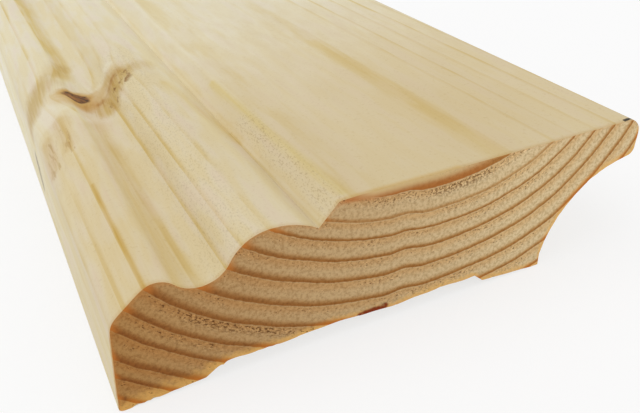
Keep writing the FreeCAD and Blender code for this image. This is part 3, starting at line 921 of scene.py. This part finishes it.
# Where the planer left small dark marks: streaks, each with a tint and how the marks are drawn out
marks = [
    ((-29.0, -1132.5, 20.2), (-26.0, -1127.5, 22.8), 3.4, 0.5, (0.50, 0.36, 0.20), (0.55, 0.32, 0.55)),
    ((-45.2, -1155.0, 16.7), (-44.4, -1143.0, 17.2), 2.6, 0.2, (0.82, 0.75, 0.63), (1.3, 0.20, 1.3)),
    ((-41.7, -1152.0, 19.5), (-41.5, -1142.0, 19.7), 1.8, 0.2, (0.82, 0.74, 0.62), (1.3, 0.30, 1.3)),
    ((-28.5, -1215, 20.8), (-25.5, -1115, 22.8), 8.0, 0.3, (0.88, 0.86, 0.83), (4.0, 1.8, 4.0)),
    ((-12.5, -1205, 24.6), (-13.0, -1165, 24.4), 3.4, 0.3, (0.82, 0.77, 0.73), (4.0, 1.8, 4.0)),
]

sawn = {
    "base": colour(229, 206, 162),
    # the sawn end is browner towards the thin edge: partly the wood's own colour, partly painted shade
    "brown": colour(175, 128, 68),           # towards the thin edge
    "brownAcross": (-50.0, 22.0),
    "stripTint": (0.96, 0.82, 0.66),         # right after a hard line
    "stripFade": (0.05, 0.5, 1.0, 0.0),
    "mottleTint": (0.72, 0.65, 0.55),
    "mottleNoise": (1.7, 4.0, 0.68),
    "mottleFade": (0.40, 0.68),
    "rimNoise": (0.9, 3.0, 0.6),             # the rims are uneven
    # a rim along the back
    "rim": colour(236, 184, 100),
    "rimWidthAcross": (-38.0, -28.0, 3.4, 1.7),
    "rimFade": (0.0, 1.9, 1.0, 0.0),
    "rimStrength": 0.75,
    # a hard line is orange beside its dark core
    "lineGlow": (0.86, 0.66, 0.41),
    "lineCore": (0.625, 0.465, 0.285),
    "lineAcross": (-35.0, 0.0, 0.90, 1.0),
    "corePowerAcross": (-35.0, -5.0, 1.0, 2.4),
    # a rim along the face
    "faceRim": colour(200, 132, 66),
    "faceRimWidthAcross": (-24.0, -6.0, 1.5, 0.7),
    "faceRimFade": (0.0, 1.6, 1.0, 0.0),
    "faceRimAcross": (-24.0, -6.0, 0.36, 0.12),
    # the hard lines turn orange where they reach the outside
    "tip": colour(208, 122, 42),
    "tipFace": (0.1, 2.4, 1.0, 0.0),
    "tipFaceAcross": (-16.0, -11.0, 1.0, 0.2),
    "tipBack": (0.1, 2.0, 1.0, 0.0),
    "tipStrength": 0.55,
    # the planed edge is rubbed away where hard wood lies along it, most where that is thickest
    "rubbed": colour(214, 184, 130),
    "rubbedDeep": colour(186, 106, 42),
    "rubbedAcross": ((-13.0, -9.0), (12.0, 17.0, 1.0, 0.0)),
    "thickAcross": ((-11.0, -5.0), (6.0, 15.0, 1.0, 0.0)),
    "rubbedUneven": 0.4,
    "rubbedWidth": (0.55, 0.45),             # more where the hard wood is thick, and everywhere
    "rubbedFade": (-0.2, 1.5, 1.0, 0.0),
    "deepFade": (0.4, 1.9, 0.9, 0.0),
    "deepAcross": (-6.0, 2.0, 1.0, 0.15),
    "deepLine": (2.6, 4.2, 0.50, 0.0),
    # pits and crumbs where the saw tore the soft wood
    "pitTint": (0.37, 0.29, 0.21),
    "crumbTint": (1.24, 1.29, 1.36),
    "tornNoise": (0.12, 2.0),
    "tornFade": (0.40, 0.62, 0.2, 0.6),
    "tornAcross": (-5.0, 12.0, 0.0, 0.15),
    "tornNoseAcross": (24.0, 34.0, 1.0, 0.2),
    "tornEdge": 3.0,                         # torn places fade over twice this
    "pitGrain": (3.2, 1.7),                  # to the millimetre, out from the pith and round it
    "pitNoise": (1.0, 2.0, 0.65),
    "pitLevel": (-0.17, 0.68),               # the noise that makes a pit: torn wood needs less
    "pitFade": (0.0, 0.07),
    "crumbOffset": 37.0,
    "resinTint": (0.32, 0.08, 0.02),
    "resin": ((-8.2, -1200, 2.5), (-3.6, -1200, 2.8), 0.85, 0.35),
    "resinNoise": (0.35, 2.0, 0.5),
    "resinFade": (0.30, 0.46),
    "roughness": 0.85,
    "mottleHeight": 0.8,
    "bump": (0.4, 0.3),
}


def startMaterial(name, roughness, shine=0.25):
    # The wood is dry and shines little
    material = bpy.data.materials.new(name)
    material.use_nodes = True
    tree = material.node_tree
    shader = tree.nodes["Principled BSDF"]
    shader.inputs["Roughness"].default_value = roughness
    shader.inputs["Specular IOR Level"].default_value = shine
    return material, tree, shader


def finishMaterial(shader, base, height, bump):
    # The colour, and the height as a bump of that strength and depth
    strength, depth = bump
    made = feed("Bump", {"Height": height, "Strength": strength, "Distance": depth * mm})
    shader.id_data.links.new(made.outputs[0], shader.inputs["Normal"])
    shader.id_data.links.new(base, shader.inputs["Base Color"])


def streak(groups, position, start, end, width, core):
    # How much of a streak there is at each place
    return useGroup(groups["streak"], {"Position": position, "From": start, "To": end,
                                       "Width": width, "Core": core})["Amount"]


def makePlaned(groups):
    material, tree, shader = startMaterial("planed pine", planed["roughness"])
    position = addNode(tree, "TexCoord").outputs["Object"]
    place = scaled(position, 1 / mm)
    across, along = split(place)[:2]

    def by(value, name):
        return span(value, *planed[name])

    # all the branches together, then the rings and fibres that flow round them
    wobble = maths("MULTIPLY_ADD", noise(place, *planed["wobbleNoise"]), *planed["wobble"])
    total = dict.fromkeys(branchParts, 0.0)
    lean = radians(branchLean)
    for start, angle, spread, pull, reach, length, dead in branches:
        out = (sin(radians(angle)) * cos(lean), -sin(lean), -cos(radians(angle)) * cos(lean))
        made = useGroup(groups["branch"], {
            "Position": position, "Wobble": wobble, "Start": (rings["pith"][0], start, rings["pith"][1]),
            "Out": out, "Spread": spread, "Length": length, "Dead": dead, "Pull": pull, "Reach": reach})
        for name in total:
            total[name] = maths("ADD", made[name], total[name])
    flow = vectorMaths("ADD", position, joined(product(total["Shift"], -mm)))
    ring = useGroup(groups["rings"], {"Position": flow, "Pull": total["Pull"]})
    fibre = useGroup(groups["fibres"], {"Position": flow})

    base = mixed(by(fibre["Cloud"], "warmFade"), planed["pale"], planed["warm"])
    mottled = by(across, "mottleAcross")
    for name in ("gold", "rose"):
        amount = product(by(fibre["Mottle"], name + "Fade"), mottled)
        base = tinted(amount, base, planed[name + "Tint"])
    uneven = by(fibre["Fine"], "stainAndLightFade")
    # stains, and the painted light and shade on the thin edge, the groove, the valley's wall and the nose
    for start, end, width, core, tint in stainsAndPaintedLight:
        amount = streak(groups, position, start, end, width, core)
        if width < planed["broadStainAndLight"]:
            amount = product(amount, uneven)
        base = tinted(amount, base, tint)
    for *line, amount in paleStreaks:
        amount = product(streak(groups, position, *line), amount)
        base = mixed(amount, base, planed["pale"])

    near = streak(groups, position, *planed["lineNear"])
    strength = maths("MULTIPLY_ADD", near, planed["lineNearMore"], by(across, "lineAcross"))
    strength = maths("ADD", strength, between(across, *planed["lineValleyAcross"]))
    strength = maths("ADD", strength, by(across, "lineNoseAcross"))
    for value, name in ((across, "lineEdgeAcross"), (fibre["Broad"], "lineBroad"),
                        (fibre["Mottle"], "lineMottle"), (total["Near"], "lineKnot")):
        strength = product(strength, by(value, name))
    line = product(ring["Hard Line"], ring["Hard Line"])
    base = tinted(product(line, strength), base, planed["lineTint"])
    strength = maths("MULTIPLY_ADD", total["Near"], *planed["fibreStrength"])
    amount = product(by(fibre["Fine"], "fibreFade"), strength)
    base = tinted(amount, base, planed["fibreTint"])
    base = tinted(by(fibre["Speck"], "speckFade"), base, planed["speckTint"])
    for *line, tint, grain in marks:
        drawn = vectorMaths("MULTIPLY", place, grain)
        speck = by(noise(drawn, *planed["markNoise"]), "markFade")
        base = tinted(product(speck, streak(groups, position, *line)), base, tint)

    half = section["length"] / 2
    first, last, *amounts = planed["edgeFade"]
    amount = span(maths("ABSOLUTE", along), half + first, half + last, *amounts)
    base = tinted(amount, base, planed["edgeTint"])
    base = tinted(total["Halo"], base, planed["haloTint"])
    knotRings = by(noise(place, *planed["knotNoise"]), "knotFade")
    live = mixed(knotRings, planed["live"], planed["liveRing"])
    dead = mixed(knotRings, planed["dead"], planed["deadDeep"])
    dead = mixed(total["Heart"], dead, planed["heart"])
    base = mixed(total["Inside"], base, mixed(total["Dead"], live, dead))
    height = maths("MULTIPLY_ADD", ring["Hard Line"], planed["lineHeight"], fibre["Fine"])
    finishMaterial(shader, base, height, planed["bump"])
    return material


def makeSawn(groups):
    material, tree, shader = startMaterial("sawn end", sawn["roughness"])
    position = addNode(tree, "TexCoord").outputs["Object"]
    ring = useGroup(groups["rings"], {"Position": position})
    line = ring["Hard Line"]
    place = scaled(position, 1 / mm)
    across = split(place)[0]
    toBack, toFace = (addNode(tree, "Attribute", attribute_name=name).outputs["Fac"]
                      for name in ("toBack", "toFace"))
    uneven = noise(place, *sawn["rimNoise"])

    def by(value, name):
        return span(value, *sawn[name])

    def rim(distance, name):
        # A fade of the distance over the uneven width that the rim has there
        width = product(by(across, name + "WidthAcross"), uneven)
        return by(maths("DIVIDE", distance, width), name + "Fade")

    # browner towards the thin edge: partly the wood's own colour, partly painted shade
    share = span(across, *sawn["brownAcross"], kind="LINEAR")
    base = mixed(share, sawn["brown"], sawn["base"])
    base = tinted(by(ring["Phase"], "stripFade"), base, sawn["stripTint"])
    fine = noise(place, *sawn["mottleNoise"])
    base = tinted(by(fine, "mottleFade"), base, sawn["mottleTint"])
    base = mixed(product(rim(toBack, "rim"), sawn["rimStrength"]), base, sawn["rim"])
    strength = by(across, "lineAcross")
    base = tinted(product(line, strength), base, sawn["lineGlow"])
    core = maths("POWER", line, by(across, "corePowerAcross"))
    base = tinted(product(core, strength), base, sawn["lineCore"])
    amount = product(rim(toFace, "faceRim"), by(across, "faceRimAcross"))
    base = mixed(amount, base, sawn["faceRim"])
    tips = product(by(toFace, "tipFace"), by(across, "tipFaceAcross"))
    tips = maths("MAXIMUM", tips, by(toBack, "tipBack"))
    base = mixed(product(tips, line, sawn["tipStrength"]), base, sawn["tip"])

    window = between(across, *sawn["rubbedAcross"])
    thick = between(across, *sawn["thickAcross"])
    rubbed = maths("MULTIPLY_ADD", uneven, -sawn["rubbedUneven"], toFace)
    width = maths("MULTIPLY_ADD", thick, *sawn["rubbedWidth"])
    rubbed = maths("DIVIDE", rubbed, width)
    deep = product(by(rubbed, "deepFade"), by(across, "deepAcross"))
    deep = maths("MAXIMUM", deep, product(line, line, by(toFace, "deepLine")))
    base = mixed(product(deep, window), base, sawn["rubbedDeep"])
    base = mixed(product(by(rubbed, "rubbedFade"), window, thick), base, sawn["rubbed"])

    amount = by(noise(place, *sawn["tornNoise"]), "tornFade")
    amount = maths("ADD", amount, by(across, "tornAcross"))
    amount = product(amount, by(across, "tornNoseAcross"))
    soft = sawn["tornEdge"]
    for year, left, right, share in torn:
        here = isYear(ring["Year"], year)
        rise = span(across, left - soft, left + soft)
        fall = span(across, right - soft, right + soft, 1.0, 0.0)
        amount = maths("MAXIMUM", product(here, rise, fall, share), amount)
    grain = joined(*(product(ring[name], scale)
                     for name, scale in zip(("Radius", "Around"), sawn["pitGrain"])))
    edge = maths("MULTIPLY_ADD", amount, *sawn["pitLevel"])
    tears = []
    for offset in (0.0, sawn["crumbOffset"]):
        moved = vectorMaths("ADD", grain, (offset, offset, offset))
        over = maths("SUBTRACT", noise(moved, *sawn["pitNoise"]), edge)
        tears.append(product(by(over, "pitFade"), ring["Soft Wood"]))
    pits, crumbs = tears
    base = tinted(crumbs, base, sawn["crumbTint"])
    base = tinted(pits, base, sawn["pitTint"])
    patchy = by(noise(place, *sawn["resinNoise"]), "resinFade")
    resin = product(streak(groups, position, *sawn["resin"]), patchy)
    base = tinted(resin, base, sawn["resinTint"])
    height = maths("SUBTRACT", product(fine, sawn["mottleHeight"]), pits)
    finishMaterial(shader, base, height, sawn["bump"])
    return material


groups = {"rings": makeRingsGroup(), "branch": makeBranchGroup(), "streak": makeStreakGroup(),
          "fibres": makeFibreGroup()}
print("patterns made")

boardMesh = buildBoard()
boardPiece = addObject("planed_board", boardMesh)
boardMesh.materials[0] = makePlaned(groups)
boardMesh.materials[1] = makeSawn(groups)
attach(boardPiece, "root")
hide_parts("skirting_board")
print("board built")

studio = {
    "floorSize": 60.0,            # metres
    "floorColour": colour(244, 244, 244),
    "floorRoughness": 0.9,
    "floorGlow": 0.72,            # share of the floor that shows plain white to the camera
    "worldLight": 0.76,
    "keyStrength": 0.65,
    "keyAngle": 60.0,
    "keyFrom": (-0.48, 0.1, 0.86),
    "fillStrength": 0.15,
    "fillAngle": 90.0,
    "fillFrom": (0.5, -0.8, 0.5),
}


def seenDirectly(tree):
    # 1 for rays from the camera, mirrors and glass
    path = addNode(tree, "LightPath").outputs
    straight = maths("MAXIMUM", path["Is Camera Ray"], path["Is Glossy Ray"])
    return maths("MAXIMUM", straight, path["Is Transmission Ray"])


def makeFloor():
    half = studio["floorSize"] / 2
    mesh = bpy.data.meshes.new("floor")
    corners = [(-half, -half, 0), (half, -half, 0), (half, half, 0), (-half, half, 0)]
    mesh.from_pydata(corners, [], [(0, 1, 2, 3)])
    floor = addObject("floor", mesh)
    material, tree, shader = startMaterial("studio floor", studio["floorRoughness"])
    shader.inputs["Base Color"].default_value = studio["floorColour"]
    glow = addNode(tree, "Emission", {"Color": plainWhite, "Strength": 1.0})
    share = product(seenDirectly(tree), studio["floorGlow"])
    both = addNode(tree, "MixShader", {0: share, 1: shader.outputs[0], 2: glow.outputs[0]})
    tree.links.new(both.outputs[0], tree.nodes["Material Output"].inputs["Surface"])
    mesh.materials.append(material)


def makeWorld():
    world = bpy.data.worlds.new("studio")
    bpy.context.scene.world = world
    world.use_nodes = True
    tree = world.node_tree
    strength = span(seenDirectly(tree), 0.0, 1.0, studio["worldLight"], 1.0, kind="LINEAR")
    back = tree.nodes["Background"]
    back.inputs["Color"].default_value = plainWhite
    tree.links.new(strength, back.inputs["Strength"])


def addSun(name):
    # A wide sun, turned so that its light comes from the stated direction
    lamp = bpy.data.lights.new(name, "SUN")
    lamp.energy = studio[name + "Strength"]
    lamp.angle = radians(studio[name + "Angle"])
    back = np.array(studio[name + "From"])
    back /= np.linalg.norm(back)
    side = np.cross((0.0, 0.0, 1.0), back)
    side /= np.linalg.norm(side)
    turn = Matrix(np.stack([side, np.cross(back, side), back], axis=1).tolist())
    addObject(name, lamp).matrix_world = turn.to_4x4()


camera = {
    "place": (-0.05317, -1.28014, 0.07823),   # metres
    "heading": 25.58,      # degrees to the right of +Y
    "downward": 30.98,
    "roll": 1.71,
    "lens": 41.13,
    "sensor": 36.0,
    "clip": (0.01, 200.0),     # metres
}


def addCamera():
    # Looks along +Y, then is rolled, tilted down and turned
    made = bpy.data.cameras.new("camera")
    made.lens = camera["lens"]
    made.sensor_width = camera["sensor"]
    made.clip_start, made.clip_end = camera["clip"]
    holder = addObject("camera", made)
    turn = (Matrix.Rotation(-radians(camera["heading"]), 3, "Z")
            @ Matrix.Rotation(radians(90 - camera["downward"]), 3, "X")
            @ Matrix.Rotation(-radians(camera["roll"]), 3, "Z"))
    holder.matrix_world = Matrix.Translation(camera["place"]) @ turn.to_4x4()
    bpy.context.scene.camera = holder


makeFloor()
makeWorld()
for sun in ("key", "fill"):
    addSun(sun)
addCamera()
bpy.context.scene.view_settings.view_transform = "Standard"
print("studio ready")
